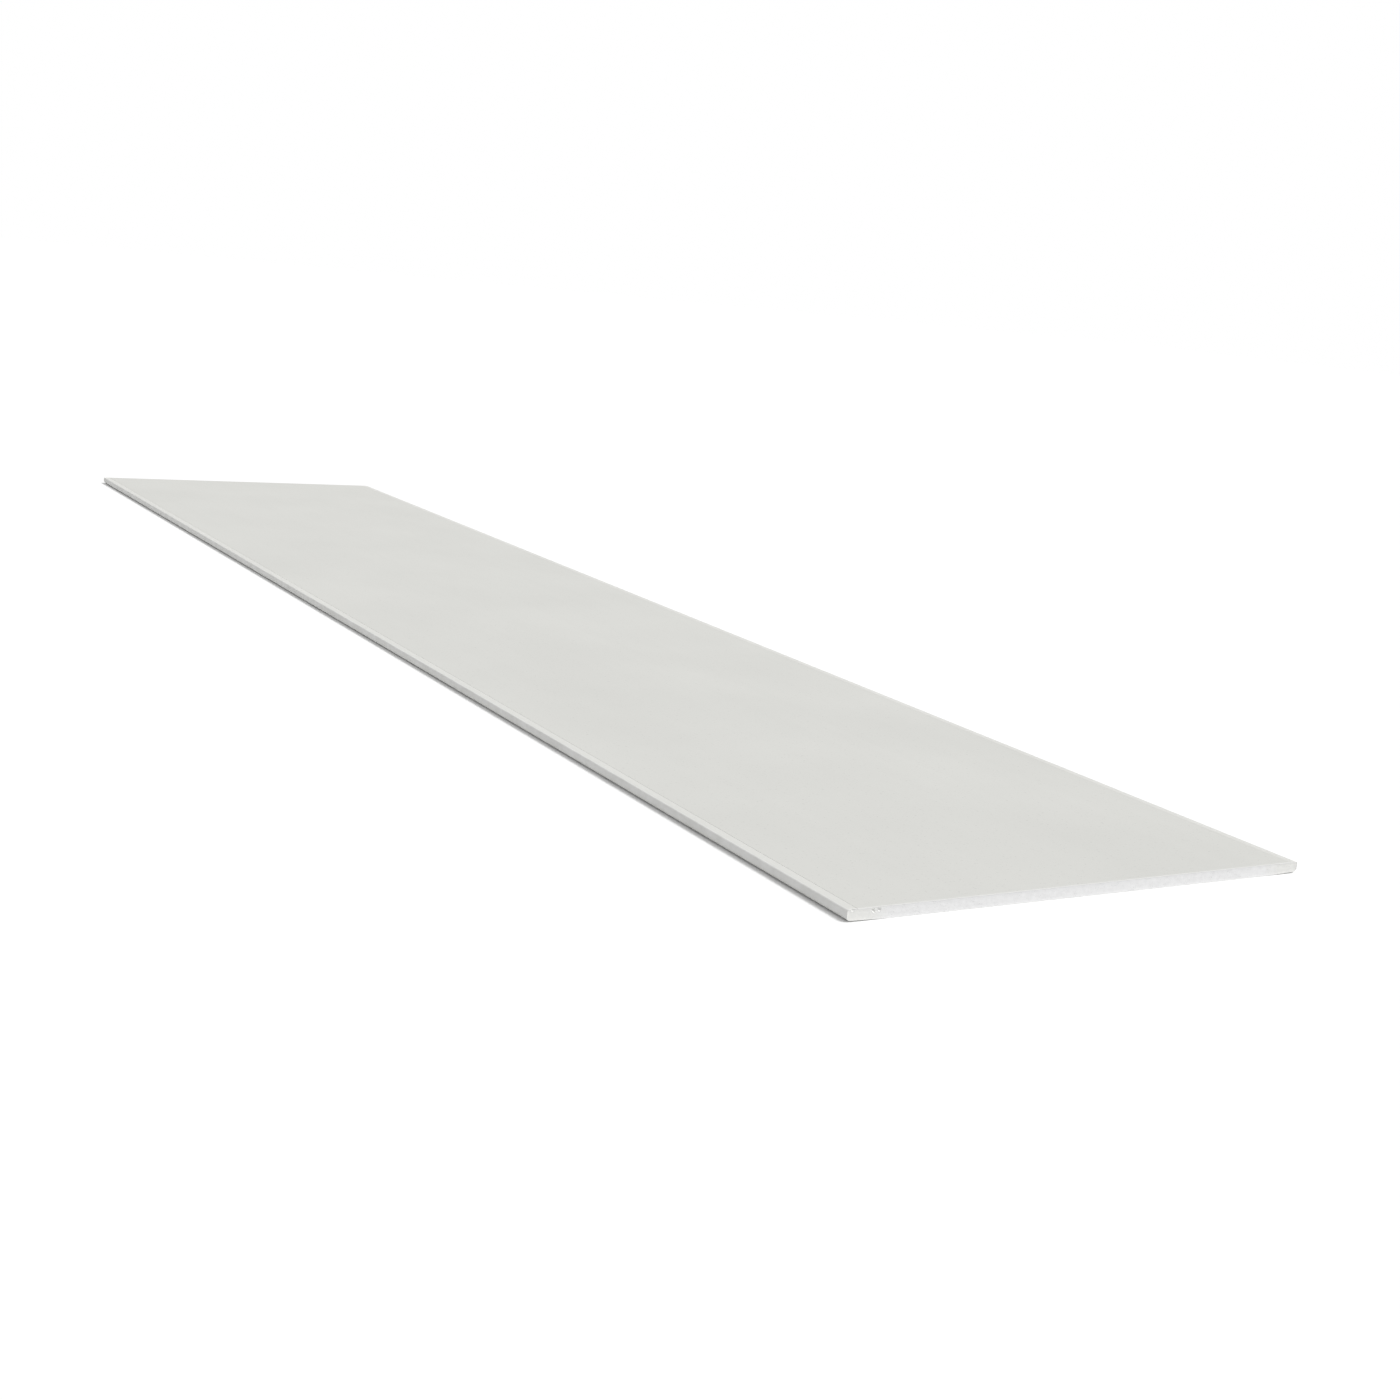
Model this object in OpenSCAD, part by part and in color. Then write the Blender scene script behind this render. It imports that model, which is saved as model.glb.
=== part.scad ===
// Drywall sheet: a long gypsum board with a paper face, tapered and half-round along both long edges
// and cut square at both ends. It lies flat, face down, with its length along Y.

/* [Sheet] */
// Width across the two long edges
sheet_w = 600; // [400:50:1250]
// Length between the two cut ends
sheet_l = 2800; // [1800:50:3600]
// Thickness over the flat middle
sheet_t = 12.5; // [9.5:0.5:18]

/* [Tapered long edges] */
// Width of the tapered band along each long edge, with its rounding
taper_w = 50; // [30:1:80]
// Depth by which the face draws back from the flat middle to the outer end of the taper
taper_d = 1.3; // [0.6:0.1:2.5]

/* [Half-round long edges] */
// Radius where the paper turns from the face round the long edge
face_r = 4.2; // [1:0.2:4.4]
// Radius where the paper turns from the long edge onto the back
back_r = 2.2; // [0.4:0.2:2.4]

/* [Hidden] */
// Sides of a full circle
$fn = 64;
// Pale warm grey of the paper
paper_colour = "#dbdbd7";

// Half the width: the long edges stand this far from the middle
half_w = sheet_w / 2;

// Centre of the rounding at the face: it starts where the taper ends
face_centre = [half_w - face_r, taper_d + face_r];
// Centre of the rounding at the back: it ends where the flat back starts
back_centre = [half_w - back_r, sheet_t - back_r];

// One side of the cross-section, from the start of the taper up to the flat back
side_points = [
    [half_w - taper_w, 0],
    [face_centre.x, taper_d],
    face_centre,
    [half_w, face_centre.y],
    [half_w, back_centre.y],
    back_centre,
    [back_centre.x, sheet_t]
];
// The same side seen in a mirror, from the back down to the taper
other_side_points = [for (i = [len(side_points) - 1 : -1 : 0]) [-side_points[i].x, side_points[i].y]];

// Cross-section of the sheet: X across its width, Y through its thickness
module section() {
    polygon(concat(side_points, other_side_points));
    for (side = [-1, 1]) {
        translate([side * face_centre.x, face_centre.y])
            circle(r = face_r);
        translate([side * back_centre.x, back_centre.y])
            circle(r = back_r);
    }
}

// The whole sheet, centred over the origin with its face on the floor
module drywall_sheet() {
    color(paper_colour)
        translate([0, sheet_l / 2, 0])
            rotate([90, 0, 0])
                linear_extrude(height = sheet_l)
                    section();
}

drywall_sheet();
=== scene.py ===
# %% [markdown]
# # A drywall sheet
# A drywall sheet is a board of gypsum cast between two papers. The face paper wraps round both long
# edges and is folded onto the back, a second paper lines the back, and the two short ends are sawn
# through, so there the bare gypsum shows. The sheet lies face down, with its back in view. This lesson
# dresses the plain solid of such a sheet in those three layers, gives each one its own finish, and lights
# it on a white studio floor.

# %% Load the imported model
import math

import bmesh
import bpy
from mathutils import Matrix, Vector


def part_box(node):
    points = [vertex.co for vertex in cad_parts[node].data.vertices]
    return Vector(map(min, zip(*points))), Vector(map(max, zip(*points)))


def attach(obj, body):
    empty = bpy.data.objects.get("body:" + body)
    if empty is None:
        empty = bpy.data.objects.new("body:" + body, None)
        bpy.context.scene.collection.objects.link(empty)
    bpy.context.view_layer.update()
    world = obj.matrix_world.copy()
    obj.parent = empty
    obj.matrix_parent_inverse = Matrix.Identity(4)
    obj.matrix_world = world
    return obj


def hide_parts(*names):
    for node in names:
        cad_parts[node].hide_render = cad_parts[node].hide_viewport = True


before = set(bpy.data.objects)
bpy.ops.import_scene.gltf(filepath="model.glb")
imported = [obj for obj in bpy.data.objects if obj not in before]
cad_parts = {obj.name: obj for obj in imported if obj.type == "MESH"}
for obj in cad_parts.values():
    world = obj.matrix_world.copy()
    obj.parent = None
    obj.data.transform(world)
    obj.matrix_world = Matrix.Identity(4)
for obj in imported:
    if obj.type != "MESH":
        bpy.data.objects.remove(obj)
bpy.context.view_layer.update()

low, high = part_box("drywall_sheet")
print("solid sheet, metres:", [round(side, 4) for side in high - low])

# %% [markdown]
# ## Sizes
# The outer size comes from the solid itself. The shape of the long edges is the board maker's: the face
# draws back a little over a millimetre towards each edge, so that filler and tape stay flush, and the
# paper then turns round the edge in a half-round, with a large radius at the face and a smaller one at
# the back. Paper is under half a millimetre thick.

# %% Sizes of the sheet and its layers, in metres
MM = 0.001
sheet_w, sheet_l, sheet_t = high - low
half_w = sheet_w / 2
half_l = sheet_l / 2

TAPER_W = 50 * MM
TAPER_D = 1.3 * MM
FACE_R = 4.2 * MM
BACK_R = 2.2 * MM
taper_slope = TAPER_D / (TAPER_W - FACE_R)

PAPER_T = 0.45 * MM
LINER_T = 0.4 * MM
# The fold of the face paper on the back, and the strip of it that the back liner leaves bare.
LAP_W = 28 * MM
BARE_LAP_W = 12 * MM
# The saw tears the gypsum out a little behind the papers.
CORE_RECESS = 0.05 * MM
# Corners and edges that lie this near to a line count as lying on it.
NEAR = 0.1 * MM
print("depth of the taper, mm:", round(TAPER_D / MM, 2), "over", round(TAPER_W / MM), "mm")

# %% [markdown]
# ## Camera
# The picture is taken from low down in front of the near left corner, so the long edges run away to the
# upper left and the near end lies across the lower right. Moving closer would fill the picture too, but the
# far end would then look smaller. So the camera stays back, leaning a little to one side, and a lens near
# 48 mm fills a square picture with the sheet.

# %% Camera
# Its place is in metres and its turn in degrees, the lens and the sensor are in millimetres.
CAMERA_AT = (-1.302, -2.710, 0.567)
CAMERA_TURN = (77.183, -5.752, -30.705)
LENS = 48.13
SENSOR_W = 36
CLOSEST_SEEN = 50 * MM

bpy.ops.object.camera_add(location=CAMERA_AT, rotation=[math.radians(angle) for angle in CAMERA_TURN])
camera = bpy.context.active_object
camera.name = "camera"
camera.data.lens = LENS
camera.data.sensor_width = SENSOR_W
camera.data.clip_start = CLOSEST_SEEN
bpy.context.scene.camera = camera
print("camera at", CAMERA_AT, "lens", LENS)

# %% [markdown]
# ## Working in edit mode from a script
# Every operator acts on what is selected, so a few small helpers do what a hand does with the mouse:
# open one piece for editing, pick some of its corners, edges or faces by where they lie, cut it into
# slices, keep the picked corners as a vertex group, and close the piece with its modifiers applied.

# %% Helpers for editing
def select_only(piece):
    """Leaves edit mode and makes one piece the only selected one."""
    if bpy.context.mode != "OBJECT":
        bpy.ops.object.mode_set(mode="OBJECT")
    bpy.ops.object.select_all(action="DESELECT")
    piece.select_set(True)
    bpy.context.view_layer.objects.active = piece


def pick(piece, kind, test):
    """Selects the VERT, EDGE or FACE items of the open piece whose middle and self pass the test."""
    bpy.ops.mesh.select_mode(type=kind)
    bpy.ops.mesh.select_all(action="DESELECT")
    mesh = bmesh.from_edit_mesh(piece.data)
    for item in {"VERT": mesh.verts, "EDGE": mesh.edges, "FACE": mesh.faces}[kind]:
        corners = [item] if kind == "VERT" else item.verts
        middle = sum((corner.co for corner in corners), Vector()) / len(corners)
        if test(middle, item):
            item.select_set(True)
    mesh.select_flush_mode()
    bmesh.update_edit_mesh(piece.data)


def slice_faces(piece, places, normal, test):
    """Cuts the faces that pass the test by a plane through each place."""
    for place in places:
        pick(piece, "FACE", test)
        bpy.ops.mesh.bisect(plane_co=place, plane_no=normal)


def mark(piece, title):
    """Keeps the picked corners of the open piece as a vertex group."""
    bpy.ops.object.vertex_group_add()
    bpy.ops.object.vertex_group_assign()
    piece.vertex_groups.active.name = title


def apply_modifiers(piece):
    """Closes a piece and applies its modifiers in order."""
    select_only(piece)
    for modifier in list(piece.modifiers):
        bpy.ops.object.modifier_apply(modifier=modifier.name)
    print(f"{piece.name}: {len(piece.data.vertices)} corners, {len(piece.data.polygons)} faces")

# %% [markdown]
# Most cuts and picks ask which way a face looks. A face counts as looking along an axis when nearly all
# of its normal points that way, which leaves out the rounded edges.

# %% Which way a face looks
NEARLY_ALL = 0.9


def any_face(at, face):
    """True for every face."""
    return True


def on_sawn_end(at, face):
    """True for a face of either sawn end."""
    return abs(face.normal.y) > NEARLY_ALL


def on_back(at, face):
    """True for a face that looks up."""
    return face.normal.z > NEARLY_ALL


def on_flat(at, face):
    """True for a face that looks up or down."""
    return abs(face.normal.z) > NEARLY_ALL


def along_sheet(edge):
    """True for an edge that runs the whole length of the board."""
    return abs(edge.verts[0].co.y - edge.verts[1].co.y) > half_l

# %% [markdown]
# Nothing on a real board is dead straight, but it is only ever off by a fraction of a millimetre. Corners
# could be nudged by hand; a Displace modifier with a cloud texture moves a whole vertex group by that much,
# and the same way each time. Its mid level is the shade of the clouds that stays in place: at one half the
# corners move both ways, at one only inwards.

# %% A helper that roughens a vertex group
BOTH_WAYS = 0.5
INWARDS = 1.0


def roughen(piece, group, direction, grain, reach, mid_level):
    """Moves a vertex group by clouds of a given grain, up to a given reach."""
    clouds = bpy.data.textures.new(group, "CLOUDS")
    clouds.noise_scale = grain
    move = piece.modifiers.new(group, "DISPLACE")
    move.texture = clouds
    move.texture_coords = "LOCAL"
    move.vertex_group = group
    move.direction = direction
    move.mid_level = mid_level
    move.strength = reach

# %% [markdown]
# ## The board's form
# The core and the paper have the same form, one just inside the other, so both start from one function.
# The section could be drawn and extruded, but every corner of the roundings would then have to be placed.
# A box is quicker: it is cut lengthwise where the tapers begin, its lower long edges are pushed up, and its
# four long edges are rounded with Bevel.

# %% The board's form
TURN_STEPS = 12


def board_form(name, inset, shorter):
    """A board lying face down, drawn in by inset all round and by shorter at each end."""
    bpy.ops.object.select_all(action="DESELECT")
    bpy.ops.mesh.primitive_cube_add(
        size=1,
        location=(0, 0, sheet_t / 2),
        scale=(sheet_w - 2 * inset, sheet_l - 2 * shorter, sheet_t - 2 * inset),
    )
    piece = bpy.context.active_object
    piece.name = name
    piece.data.name = name
    bpy.ops.object.transform_apply(location=True, rotation=True, scale=True)

    bpy.ops.object.mode_set(mode="EDIT")
    taper_starts = [(side * (half_w - TAPER_W), 0, 0) for side in (-1, 1)]
    slice_faces(piece, taper_starts, (1, 0, 0), any_face)
    outer = half_w - inset - NEAR
    pick(piece, "VERT", lambda at, corner: abs(at.x) > outer and at.z < sheet_t / 2)
    bpy.ops.transform.translate(value=(0, 0, taper_slope * (TAPER_W - inset)))

    back_z = sheet_t - inset - NEAR
    pick(piece, "EDGE", lambda at, edge: along_sheet(edge) and abs(at.x) > outer and at.z < sheet_t / 2)
    bpy.ops.mesh.bevel(offset=FACE_R - inset, segments=TURN_STEPS, affect="EDGES")
    pick(piece, "EDGE", lambda at, edge: along_sheet(edge) and abs(at.x) > outer and at.z > back_z)
    bpy.ops.mesh.bevel(offset=BACK_R - inset, segments=TURN_STEPS, affect="EDGES")
    return piece

# %% [markdown]
# On the back, the paper's fold lies partly under the back liner, which presses it into the gypsum by its
# own thickness. Left flat, the fold and the liner would run through each other. So the covered strip of the
# fold is cut free along its two sides and lowered a little, in the paper and in the core alike.

# %% The pressed-in strip of the fold
LAP_STEP = 0.5 * MM


def press_fold(piece):
    """Lowers the strip under the back liner along both long edges of the open piece."""
    lines = (BARE_LAP_W - LAP_STEP, BARE_LAP_W, LAP_W, LAP_W + LAP_STEP)
    places = [(side * (half_w - line), 0, 0) for side in (-1, 1) for line in lines]
    slice_faces(piece, places, (1, 0, 0), on_back)
    strip_in = half_w - LAP_W - NEAR
    strip_out = half_w - BARE_LAP_W + NEAR
    strip_z = sheet_t - PAPER_T - NEAR
    pick(piece, "VERT", lambda at, corner: at.z > strip_z and strip_in < abs(at.x) < strip_out)
    bpy.ops.transform.translate(value=(0, 0, -LINER_T))

# %% [markdown]
# The long edges of a real sheet wander by a fraction of a millimetre. Core and paper have to wander
# together, so one helper cuts a piece into rows along its length and lets its long edges drift.

# %% Wandering long edges
ROW_L = 50 * MM
WANDER_GRAIN = 160 * MM
WANDER_REACH = 0.5 * MM
rows_along = [(0, n * ROW_L - half_l, 0) for n in range(1, round(sheet_l / ROW_L))]
print("rows along the sheet:", len(rows_along) + 1)


def wander(piece):
    """Cuts the open piece into rows and lets its long edges drift sideways."""
    slice_faces(piece, rows_along, (0, 1, 0), any_face)
    pick(piece, "VERT", lambda at, corner: abs(at.x) > half_w - FACE_R - NEAR)
    mark(piece, "long_edges")
    roughen(piece, "long_edges", "X", WANDER_GRAIN, WANDER_REACH, BOTH_WAYS)

# %% [markdown]
# ## Gypsum core
# Only the two sawn ends of the core are ever seen. The saw leaves set gypsum slightly crumbled. A bump in
# the material could fake that, but real hollows hold their own shade from every side. So the end faces are
# first cut into a fine grid with Bisect, to have something to move, and Displace later draws the corners in.

# %% Gypsum core with a fine grid on its sawn ends
END_CELL = 1.5 * MM

core = board_form("gypsum_core", PAPER_T, CORE_RECESS)
press_fold(core)
columns = [(n * END_CELL - half_w, 0, 0) for n in range(1, round(sheet_w / END_CELL))]
layers = [(0, 0, n * END_CELL) for n in range(1, round(sheet_t / END_CELL))]
slice_faces(core, columns, (1, 0, 0), on_sawn_end)
slice_faces(core, layers, (0, 0, 1), on_sawn_end)
print("grid on each sawn end:", len(columns) + 1, "by", len(layers) + 1)

# %% [markdown]
# Two crumbs have broken out of the near end, a little below the back, and close to the corner its rim is
# nicked. A Boolean could cut such hollows, but it would leave them clean and round. So Subdivide makes the
# grid finer there, and proportional editing pulls the nearest corner inwards and takes its neighbours
# along. A smaller pull beside the first makes each crumb uneven.

# %% Helpers that break crumbs out
FINER_CUTS = 3


def spot(from_edge, from_back):
    """A place on the near end, by its distances from the left long edge and from the back."""
    return Vector((from_edge - half_w, -half_l, sheet_t - from_back))


def refine(piece, pulls):
    """Makes the faces of the open piece finer within twice the reach of each pull."""
    pick(piece, "FACE", lambda at, face: any((at - place).length < 2 * reach for place, reach, _ in pulls))
    bpy.ops.mesh.subdivide(number_cuts=FINER_CUTS)


def break_out(piece, place, reach, depth):
    """Pulls the corners of the open piece within reach of a place inwards, the nearest one to full depth."""
    nearest = min(bmesh.from_edit_mesh(piece.data).verts, key=lambda corner: (corner.co - place).length)
    pick(piece, "VERT", lambda at, corner: corner == nearest)
    bpy.ops.transform.translate(
        value=(0, depth, 0),
        use_proportional_edit=True,
        proportional_edit_falloff="INVERSE_SQUARE",
        proportional_size=reach,
    )

# %% Crumbs broken out of the near end
# Each pull has its place, its reach and its depth.
CRUMBS = (
    (spot(30 * MM, 3 * MM), 2 * MM, 1.6 * MM),
    (spot(31.2 * MM, 4.4 * MM), 1.2 * MM, 1 * MM),
    (spot(37 * MM, 3 * MM), 2 * MM, 1.6 * MM),
    (spot(35.6 * MM, 2.2 * MM), 1.2 * MM, 1 * MM),
)
NICK = (spot(6 * MM, 0), 2.5 * MM, 1.2 * MM)

refine(core, (*CRUMBS, NICK))
for pull in (*CRUMBS, NICK):
    break_out(core, *pull)
print("places pulled in at the near end:", len(CRUMBS) + 1)

# %% [markdown]
# The rim of the grid stays where it is when the ends crumble, because the papers hold the gypsum there.

# %% Crumbled ends
CRUMBLE = 3 * MM
CRUMBLE_DEPTH = 0.5 * MM
# Wide enough to shade the walls of the crumbs smoothly.
CRUMB_ANGLE = math.radians(60)

wander(core)
pick(core, "VERT", lambda at, corner: all(on_sawn_end(at, face) for face in corner.link_faces))
mark(core, "crumbled_ends")
roughen(core, "crumbled_ends", "NORMAL", CRUMBLE, CRUMBLE_DEPTH, INWARDS)
apply_modifiers(core)
bpy.ops.object.shade_smooth_by_angle(angle=CRUMB_ANGLE)

# %% [markdown]
# ## Face paper
# The face paper is one sheet that covers the face, turns round both long edges and ends in a fold on the
# back. A smaller board could be cut out of a larger one, but only an open skin has free edges to fray. So
# the board form gives the paper's outside, without the sawn ends and the middle of the back, and Solidify
# gives it its thickness on the inside. Before that the skin is cut into narrow strips and, near its ends,
# into short rows.

# %% Face paper as an open skin
STRIP_W = 3 * MM
FRAY_ROWS = (1.5 * MM, 4 * MM, 10 * MM)
# The first and the last line would run through the rounded edges, so they are left out.
strips = [(n * STRIP_W - half_w, 0, 0) for n in range(2, round(sheet_w / STRIP_W) - 1)]
fray_lines = [(0, end * (half_l - row), 0) for end in (-1, 1) for row in FRAY_ROWS]

paper = board_form("face_paper", 0, 0)
press_fold(paper)
pick(paper, "FACE", on_sawn_end)
bpy.ops.mesh.delete(type="FACE")
pick(paper, "FACE", lambda at, face: on_back(at, face) and abs(at.x) < half_w - LAP_W)
bpy.ops.mesh.delete(type="FACE")
slice_faces(paper, strips, (1, 0, 0), on_flat)
slice_faces(paper, fray_lines, (0, 1, 0), any_face)
refine(paper, [NICK])
break_out(paper, *NICK)
print("open skin of the face paper:", len(bmesh.from_edit_mesh(paper.data).faces), "faces")

# %% Frayed ends and thickness of the face paper
FRAY_GRAIN = 4 * MM
FRAY_REACH = 0.3 * MM
# Wider than one step of the rounded edges, so they look smooth, and narrower than the step of the fold.
PAPER_ANGLE = math.radians(12)


def fray(piece, group):
    """Lets the sawn ends of the open piece fray."""
    pick(piece, "VERT", lambda at, corner: corner.is_boundary and abs(at.y) > half_l - NEAR)
    mark(piece, group)
    roughen(piece, group, "Y", FRAY_GRAIN, FRAY_REACH, BOTH_WAYS)


def thicken(piece, thickness):
    """Gives a skin its thickness on the inside."""
    wall = piece.modifiers.new("thickness", "SOLIDIFY")
    wall.thickness = thickness
    wall.offset = -1
    wall.use_even_offset = True


wander(paper)
fray(paper, "frayed_paper")
thicken(paper, PAPER_T)
apply_modifiers(paper)
bpy.ops.object.shade_smooth_by_angle(angle=PAPER_ANGLE)

# %% [markdown]
# ## Back liner
# The back liner is a plain grey sheet. It is laid over the folds of the face paper and stops short of the
# long edges, so a narrow strip of the fold stays bare. A thin box would do, but as with the face paper, a
# plane is cut and frayed more easily, and Solidify then thickens it downwards.

# %% Back liner
bpy.ops.object.select_all(action="DESELECT")
bpy.ops.mesh.primitive_plane_add(size=1, location=(0, 0, sheet_t))
liner = bpy.context.active_object
liner.name = "back_liner"
liner.data.name = "back_liner"
liner.scale = (sheet_w - 2 * BARE_LAP_W, sheet_l, 1)
bpy.ops.object.transform_apply(location=True, rotation=True, scale=True)

bpy.ops.object.mode_set(mode="EDIT")
slice_faces(liner, fray_lines, (0, 1, 0), any_face)
slice_faces(liner, strips, (1, 0, 0), any_face)
fray(liner, "frayed_liner")
thicken(liner, LINER_T)
apply_modifiers(liner)

# %% [markdown]
# ## Finishes
# All three materials are dull: light soaks into paper and gypsum and comes back spread out. What tells
# them apart is their tone and their grain. Colours are written as on a screen, in hex, and one function
# turns them into the linear values that the shader works with. One more function adds a node, sets it
# and links it, so that each material reads as a short list. Patterns sit on the sheet's own axes, so they
# stay in place from every side.

# %% Helpers for materials
def colour(hex_code):
    """A screen colour such as "dbdbd7" as linear red, green, blue and alpha."""
    shares = [int(hex_code[n:n + 2], 16) / 255 for n in (0, 2, 4)]
    return [s / 12.92 if s <= 0.04045 else ((s + 0.055) / 1.055) ** 2.4 for s in shares] + [1]


def add(tree, kind, settings=(), sockets=()):
    """Adds a node, sets its options, and fills or links its inputs."""
    node = tree.nodes.new(kind)
    for name, value in settings:
        setattr(node, name, value)
    for name, value in sockets:
        if isinstance(value, bpy.types.NodeSocket):
            tree.links.new(value, node.inputs[name])
        else:
            node.inputs[name].default_value = value
    return node


def new_finish(piece, name):
    """Gives a piece a new material, and returns the material's node tree and shader."""
    finish = bpy.data.materials.new(name)
    finish.use_nodes = True
    piece.data.materials.clear()
    piece.data.materials.append(finish)
    print("finish:", name, "on", piece.name)
    return finish.node_tree, finish.node_tree.nodes["Principled BSDF"]


COLOUR_MIX = [("data_type", "RGBA")]
COLOUR_TIMES = [("data_type", "RGBA"), ("blend_type", "MULTIPLY")]
# Noise gathers round one half. Stretching its middle to the full range gives soft patches.
SOFT_PATCHES = [("From Min", 0.3), ("From Max", 0.7)]
# Only the lowest noise falls in this range, which gives scattered specks.
RARE_SPECKS = [("From Min", 0.26), ("From Max", 0.36)]
# Noise with two or three layers of finer noise laid over it.
TWO_LAYERS = ("Detail", 2)
THREE_LAYERS = ("Detail", 3)


def from_middle(tree, place, axis):
    """How far a point lies from the sheet's middle along one axis."""
    axes = add(tree, "ShaderNodeSeparateXYZ", sockets=[("Vector", place)])
    distance = add(tree, "ShaderNodeMath", [("operation", "ABSOLUTE")], [(0, axes.outputs[axis])])
    return distance.outputs[0]

# %% [markdown]
# ### Both papers
# Two things are the same on both papers. The saw leaves a line of white gypsum dust along their cut rims,
# which stand at a fixed distance from the sheet's middle. And their fibres make a faint felt. It could be
# left out at this distance, but it keeps close views from looking like plastic. Real fibres are far thinner
# than a millimetre, so the felt is drawn coarser than it is, to show at all.

# %% Dusted rims and felt
DUST_W = 3 * MM
DUST = colour("ececea")
FUZZ = 1.5 * MM
FUZZ_HEIGHT = 0.1 * MM
PAPER_IOR = 1.45


def dust_rims(tree, place, tone):
    """Fades a tone into gypsum dust along both sawn rims."""
    dust = add(tree, "ShaderNodeMapRange", sockets=[
        ("Value", from_middle(tree, place, "Y")), ("From Min", half_l - DUST_W), ("From Max", half_l)])
    dusted = add(tree, "ShaderNodeMix", COLOUR_MIX, [
        ("Factor", dust.outputs["Result"]), ("A", tone), ("B", DUST)])
    return dusted.outputs["Result"]


def felt(tree, place, strength):
    """The slightly fuzzy surface of pressed fibres."""
    fuzz = add(tree, "ShaderNodeTexNoise", sockets=[("Vector", place), ("Scale", 1 / FUZZ), THREE_LAYERS])
    bump = add(tree, "ShaderNodeBump", sockets=[
        ("Height", fuzz.outputs["Fac"]), ("Strength", strength), ("Distance", FUZZ_HEIGHT)])
    return bump.outputs["Normal"]


print("dust on the cut rims, mm:", round(DUST_W / MM), "felt, mm:", round(FUZZ / MM, 1))

# %% [markdown]
# ### Back liner
# The liner is a smooth, pale grey board of recycled fibre. It is dull, with faint clouds where the fibre
# is thicker, weak streaks along the machine that made it, and specks of darker fibre. The specks are a
# millimetre or less on a real sheet; here they are drawn three times as large, because finer ones would
# vanish in the picture.

# %% Back liner: clouds, streaks and specks
CLOUD = 260 * MM
STREAK_W = 24 * MM
STREAK_L = 1500 * MM
SPECK = 3 * MM
STREAK_SHADE = 0.99
SPECK_SHADE = 0.86

tree, shader = new_finish(liner, "recycled_back_liner")
place = add(tree, "ShaderNodeTexCoord").outputs["Object"]
clouds = add(tree, "ShaderNodeTexNoise", sockets=[("Vector", place), ("Scale", 1 / CLOUD), THREE_LAYERS])
thicker = add(tree, "ShaderNodeMapRange", sockets=SOFT_PATCHES + [("Value", clouds.outputs["Fac"])])
tone = add(tree, "ShaderNodeMix", COLOUR_MIX, [
    ("Factor", thicker.outputs["Result"]), ("A", colour("d8d8d4")), ("B", colour("dcdcd8"))])

machine = add(tree, "ShaderNodeMapping", sockets=[
    ("Vector", place), ("Scale", (1 / STREAK_W, 1 / STREAK_L, 1))])
streaks = add(tree, "ShaderNodeTexNoise", sockets=[
    ("Vector", machine.outputs["Vector"]), ("Scale", 1), TWO_LAYERS])
streak_shade = add(tree, "ShaderNodeMapRange", sockets=SOFT_PATCHES + [
    ("Value", streaks.outputs["Fac"]), ("To Min", STREAK_SHADE)])
streaked = add(tree, "ShaderNodeMix", COLOUR_TIMES, [
    ("Factor", 1), ("A", tone.outputs["Result"]), ("B", streak_shade.outputs["Result"])])

fibres = add(tree, "ShaderNodeTexNoise", sockets=[("Vector", place), ("Scale", 1 / SPECK), TWO_LAYERS])
speck_shade = add(tree, "ShaderNodeMapRange", sockets=RARE_SPECKS + [
    ("Value", fibres.outputs["Fac"]), ("To Min", SPECK_SHADE)])
specked = add(tree, "ShaderNodeMix", COLOUR_TIMES, [
    ("Factor", 1), ("A", streaked.outputs["Result"]), ("B", speck_shade.outputs["Result"])])

# %% Back liner: dusted rims, felt and dullness
LINER_FELT = 0.15
LINER_ROUGHNESS = 0.9
LINER_SHINE = 0.2

tree.links.new(dust_rims(tree, place, specked.outputs["Result"]), shader.inputs["Base Color"])
tree.links.new(felt(tree, place, LINER_FELT), shader.inputs["Normal"])
shader.inputs["Roughness"].default_value = LINER_ROUGHNESS
shader.inputs["IOR"].default_value = PAPER_IOR
shader.inputs["Specular IOR Level"].default_value = LINER_SHINE
print("roughness of the liner:", LINER_ROUGHNESS)

# %% [markdown]
# ### Face paper
# The face paper is bleached a little whiter than the liner and pressed smoother. Where it turns round the
# long edges it gets rubbed in handling, which leaves it chalky: paler still, in uneven patches. This paler
# colour is partly that chalk and partly a painted highlight on the turned edges. The edges are found on
# the sheet's own X axis.

# %% Face paper: chalky edges with a painted highlight, dusted rims and dullness
CHALK_AND_HIGHLIGHT_PATCH = 18 * MM
CHALK_AND_HIGHLIGHT_FROM = half_w - BACK_R
CHALK_AND_HIGHLIGHT_FULL = half_w - BACK_R / 2
LEAST_CHALK_AND_HIGHLIGHT = 0.4
FACE_FELT = 0.1
FACE_ROUGHNESS = 0.8

tree, shader = new_finish(paper, "pressed_face_paper")
place = add(tree, "ShaderNodeTexCoord").outputs["Object"]
clouds = add(tree, "ShaderNodeTexNoise", sockets=[("Vector", place), ("Scale", 1 / CLOUD), THREE_LAYERS])
tone = add(tree, "ShaderNodeMix", COLOUR_MIX, [
    ("Factor", clouds.outputs["Fac"]), ("A", colour("dbdbd7")), ("B", colour("e1e1dd"))])

patches = add(tree, "ShaderNodeTexNoise", sockets=[
    ("Vector", place), ("Scale", 1 / CHALK_AND_HIGHLIGHT_PATCH), THREE_LAYERS])
chalk_and_highlight_share = add(tree, "ShaderNodeMapRange", sockets=SOFT_PATCHES + [
    ("Value", patches.outputs["Fac"]), ("To Min", LEAST_CHALK_AND_HIGHLIGHT)])
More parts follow.
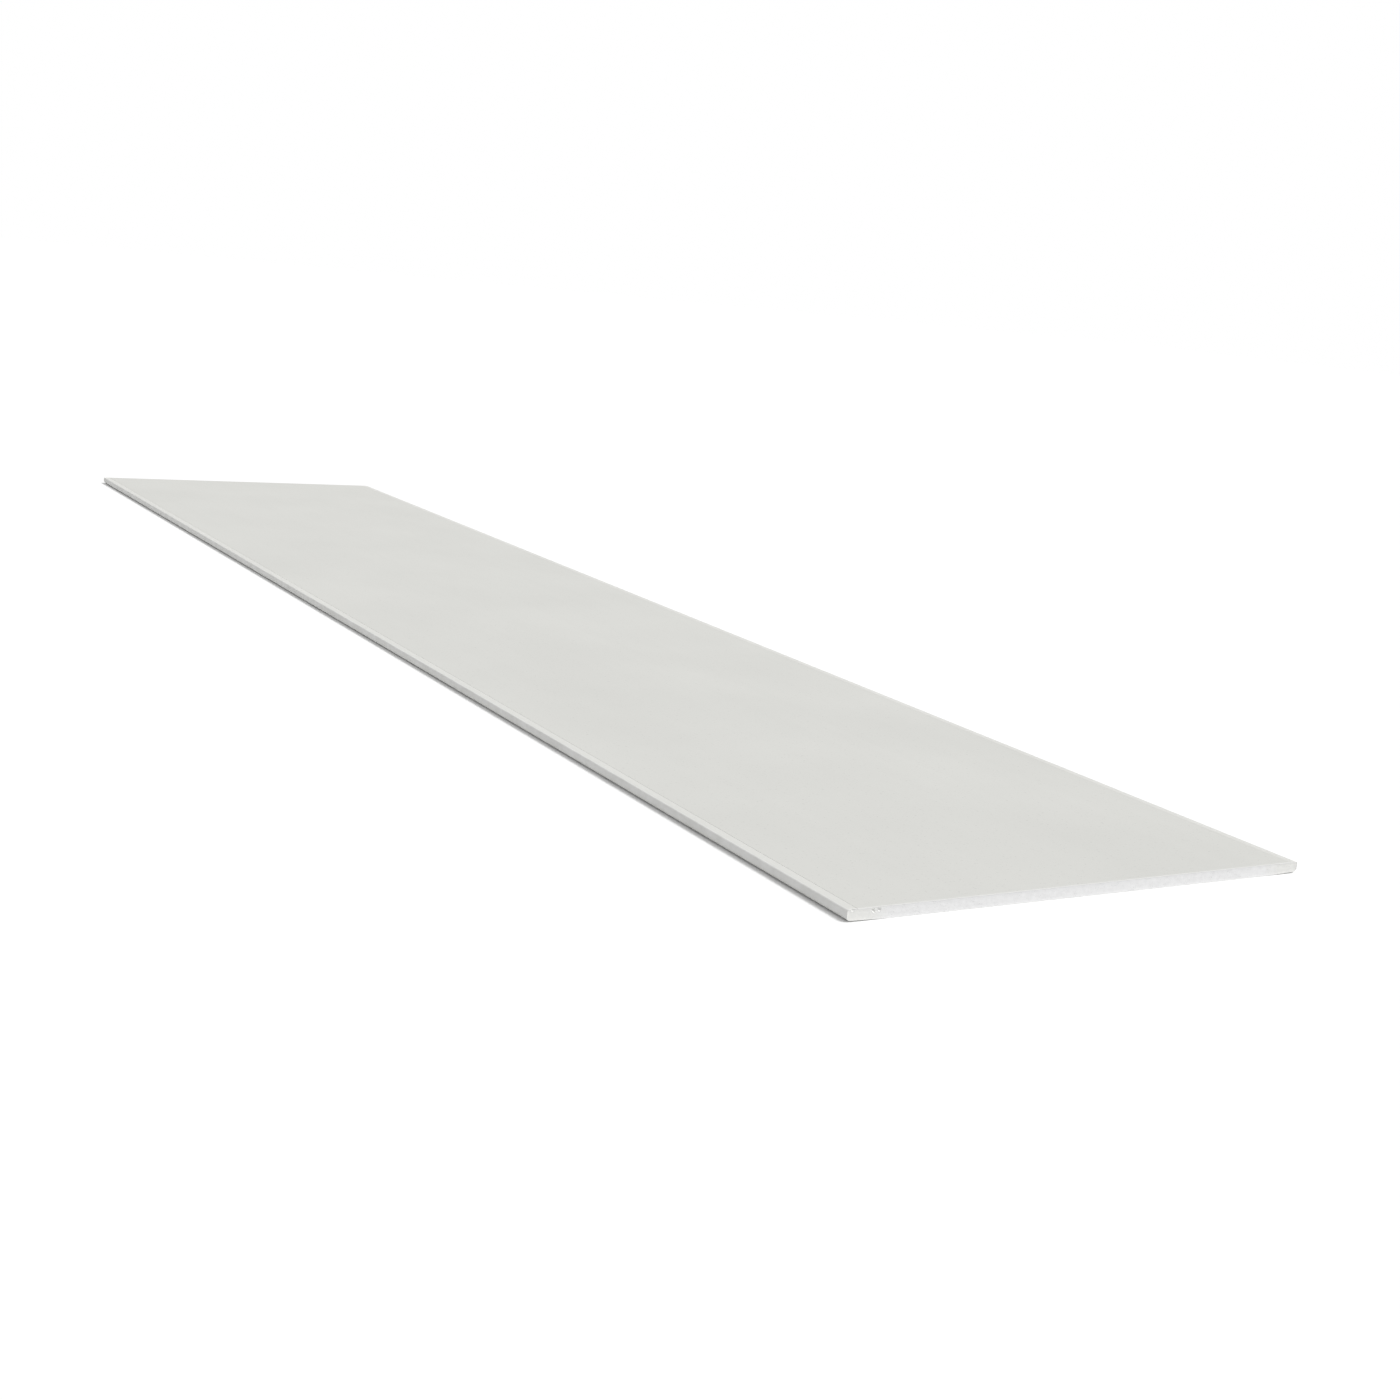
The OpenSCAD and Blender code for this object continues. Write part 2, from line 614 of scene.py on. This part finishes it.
# The paler colour on the turned edges is partly chalk from handling and partly a painted highlight.
chalk_and_highlight = add(tree, "ShaderNodeMapRange", sockets=[
    ("Value", from_middle(tree, place, "X")), ("From Min", CHALK_AND_HIGHLIGHT_FROM), ("From Max", CHALK_AND_HIGHLIGHT_FULL),
    ("To Max", chalk_and_highlight_share.outputs["Result"])])
rubbed_and_highlighted = add(tree, "ShaderNodeMix", COLOUR_MIX, [
    ("Factor", chalk_and_highlight.outputs["Result"]), ("A", tone.outputs["Result"]), ("B", colour("f2f2f0"))])

tree.links.new(dust_rims(tree, place, rubbed_and_highlighted.outputs["Result"]), shader.inputs["Base Color"])
tree.links.new(felt(tree, place, FACE_FELT), shader.inputs["Normal"])
shader.inputs["Roughness"].default_value = FACE_ROUGHNESS
shader.inputs["IOR"].default_value = PAPER_IOR

# %% [markdown]
# ### Gypsum
# Set gypsum is a chalky white stone. It is foamed before it sets, so a cut shows pinholes, in looser and
# denser patches, and between them a fine sandy grain. There are far too many pinholes to model, so they
# are the middles of Voronoi cells, and noise decides how wide they open. Their dark middles are painted
# shade in the colour, with a bump for their depth. The sand is drawn coarser than it is, to show at all.
# Under the turned edges makers cast the gypsum denser, which makes a slightly darker, warmer band about as
# wide as the taper.

# %% Gypsum: the dense edges and the field between them
GRAIN = 7 * MM

tree, shader = new_finish(core, "set_gypsum")
place = add(tree, "ShaderNodeTexCoord").outputs["Object"]
dense = add(tree, "ShaderNodeMapRange", sockets=[
    ("Value", from_middle(tree, place, "X")),
    ("From Min", half_w - TAPER_W), ("From Max", half_w - TAPER_W / 2)])
grain = add(tree, "ShaderNodeTexNoise", sockets=[("Vector", place), ("Scale", 1 / GRAIN), THREE_LAYERS])
field = add(tree, "ShaderNodeMix", COLOUR_MIX, [
    ("Factor", grain.outputs["Fac"]), ("A", colour("e8e8e8")), ("B", colour("f6f6f6"))])
edge = add(tree, "ShaderNodeMix", COLOUR_MIX, [
    ("Factor", grain.outputs["Fac"]), ("A", colour("e6e6e4")), ("B", colour("f4f4f0"))])
cast = add(tree, "ShaderNodeMix", COLOUR_MIX, [
    ("Factor", dense.outputs["Result"]), ("A", field.outputs["Result"]), ("B", edge.outputs["Result"])])

# %% Gypsum: pinholes, with painted shade in them
PINHOLE_GAP = 1.7 * MM
PINHOLE_PATCH = 12 * MM
# How dark the painted shade in the middle of a pinhole is.
PINHOLE_PAINTED_SHADE = 0.72
# Radius of a pinhole, as a share of the gap between pinholes, and how much of it is painted fully dark.
SMALLEST_HOLE = 0.05
LARGEST_HOLE = 0.28
PAINTED_DARK_SHARE = 0.6

cells = add(tree, "ShaderNodeTexVoronoi", sockets=[("Vector", place), ("Scale", 1 / PINHOLE_GAP)])
foam = add(tree, "ShaderNodeTexNoise", sockets=[
    ("Vector", place), ("Scale", 1 / PINHOLE_PATCH), TWO_LAYERS])
hole_r = add(tree, "ShaderNodeMapRange", sockets=SOFT_PATCHES + [
    ("Value", foam.outputs["Fac"]), ("To Min", SMALLEST_HOLE), ("To Max", LARGEST_HOLE)])
painted_dark_r = add(tree, "ShaderNodeMath", [("operation", "MULTIPLY")], [
    (0, hole_r.outputs["Result"]), (1, PAINTED_DARK_SHARE)])
solid = add(tree, "ShaderNodeMapRange", sockets=[
    ("Value", cells.outputs["Distance"]),
    ("From Min", painted_dark_r.outputs[0]), ("From Max", hole_r.outputs["Result"])])
# The pinholes' dark middles are painted shade, multiplied into the gypsum's colour.
hole_painted_shade = add(tree, "ShaderNodeMapRange", sockets=[
    ("Value", solid.outputs["Result"]), ("To Min", PINHOLE_PAINTED_SHADE)])
pitted_with_painted_shade = add(tree, "ShaderNodeMix", COLOUR_TIMES, [
    ("Factor", 1), ("A", cast.outputs["Result"]), ("B", hole_painted_shade.outputs["Result"])])
tree.links.new(pitted_with_painted_shade.outputs["Result"], shader.inputs["Base Color"])
print("largest pinholes, mm across:", round(2 * LARGEST_HOLE * PINHOLE_GAP / MM, 2))

# %% Gypsum: sandy grain and dullness
SAND = 0.8 * MM
SAND_HEIGHT = 0.15 * MM
SAND_STRENGTH = 0.3
PINHOLE_DEPTH = 0.4 * MM
PINHOLE_STRENGTH = 0.6
GYPSUM_ROUGHNESS = 0.95
GYPSUM_IOR = 1.52

sand = add(tree, "ShaderNodeTexNoise", sockets=[("Vector", place), ("Scale", 1 / SAND), THREE_LAYERS])
sandy = add(tree, "ShaderNodeBump", sockets=[
    ("Height", sand.outputs["Fac"]), ("Strength", SAND_STRENGTH), ("Distance", SAND_HEIGHT)])
pits = add(tree, "ShaderNodeBump", sockets=[
    ("Height", solid.outputs["Result"]), ("Strength", PINHOLE_STRENGTH), ("Distance", PINHOLE_DEPTH),
    ("Normal", sandy.outputs["Normal"])])
tree.links.new(pits.outputs["Normal"], shader.inputs["Normal"])
shader.inputs["Roughness"].default_value = GYPSUM_ROUGHNESS
shader.inputs["IOR"].default_value = GYPSUM_IOR
print("roughness of the gypsum:", GYPSUM_ROUGHNESS)

# %% [markdown]
# ## Floor, world and lamp
# The sheet lies on a studio floor. What the floor throws back onto the sheet is a pale grey, so the turned
# long edges grow darker downwards. To the camera it shows itself in white, with a trace of glow, and as it
# is lit like everything else it keeps the sheet's shadow. The world is an even white dome, also at full
# white for the camera only. One large soft lamp shines from the front right, high up, so the sawn end is
# the brightest side and the left long edge the darkest. It is a Sun, because a Sun lights a long sheet and
# a wide floor evenly.

# %% What the camera sees, straight or in a mirror or glass
WHITE = colour("ffffff")


def seen_rays(tree):
    """One for rays that show the surroundings to the camera, and zero for rays that light something."""
    ray = add(tree, "ShaderNodeLightPath")
    mirrored = add(tree, "ShaderNodeMath", [("operation", "MAXIMUM")], [
        (0, ray.outputs["Is Glossy Ray"]), (1, ray.outputs["Is Transmission Ray"])])
    seen = add(tree, "ShaderNodeMath", [("operation", "MAXIMUM")], [
        (0, ray.outputs["Is Camera Ray"]), (1, mirrored.outputs[0])])
    return seen.outputs[0]

# %% Floor
# Wide enough that its rim lies far behind the sheet, in metres.
FLOOR_W = 60
# A hair under the sheet: two surfaces in the same plane would turn black where they meet.
FLOOR_GAP = 0.1 * MM
FLOOR_GLOW = 0.03

bpy.ops.object.select_all(action="DESELECT")
bpy.ops.mesh.primitive_plane_add(size=FLOOR_W, location=(0, 0, -FLOOR_GAP))
floor = bpy.context.active_object
floor.name = "studio_floor"
floor.data.name = "studio_floor"
bpy.ops.object.transform_apply(location=True, rotation=True, scale=True)
tree, shader = new_finish(floor, "white_studio_floor")
seen = seen_rays(tree)
floor_tone = add(tree, "ShaderNodeMix", COLOUR_MIX, [
    ("Factor", seen), ("A", colour("e1e1e1")), ("B", WHITE)])
glow = add(tree, "ShaderNodeMath", [("operation", "MULTIPLY")], [(0, seen), (1, FLOOR_GLOW)])
tree.links.new(floor_tone.outputs["Result"], shader.inputs["Base Color"])
tree.links.new(glow.outputs[0], shader.inputs["Emission Strength"])
shader.inputs["Emission Color"].default_value = WHITE
shader.inputs["Roughness"].default_value = 1
shader.inputs["Specular IOR Level"].default_value = 0

# %% World
DOME = 0.49

world = bpy.data.worlds.new("white_dome")
bpy.context.scene.world = world
world.use_nodes = True
tree = world.node_tree
tree.nodes.clear()
level = add(tree, "ShaderNodeMapRange", sockets=[("Value", seen_rays(tree)), ("To Min", DOME)])
sky = add(tree, "ShaderNodeBackground", sockets=[("Color", WHITE), ("Strength", level.outputs["Result"])])
add(tree, "ShaderNodeOutputWorld", sockets=[("Surface", sky.outputs["Background"])])
print("dome at", DOME, "of white")

# %% Lamp
# Where it shines from, and how many degrees of the sky it fills: the wider, the softer the shadow.
LAMP_FROM = Vector((0.65, -0.89, 1.62))
LAMP_SPREAD = 20
LAMP_STRENGTH = 1.95

bpy.ops.object.light_add(type="SUN", location=LAMP_FROM)
lamp = bpy.context.active_object
lamp.name = "soft_lamp"
lamp.data.angle = math.radians(LAMP_SPREAD)
lamp.data.energy = LAMP_STRENGTH
lamp.rotation_euler = (-LAMP_FROM).to_track_quat("-Z", "Y").to_euler()
bpy.context.scene.view_settings.view_transform = "Standard"
print("lamp from", list(LAMP_FROM), "strength", LAMP_STRENGTH)

# %% [markdown]
# ## Hand the pieces to the frame
# All three layers belong to the one body of the sheet and together stand for its plain solid.

# %% Ride, replace and finish
for piece in (core, paper, liner):
    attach(piece, "root")
    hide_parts("drywall_sheet")

bpy.context.view_layer.update()
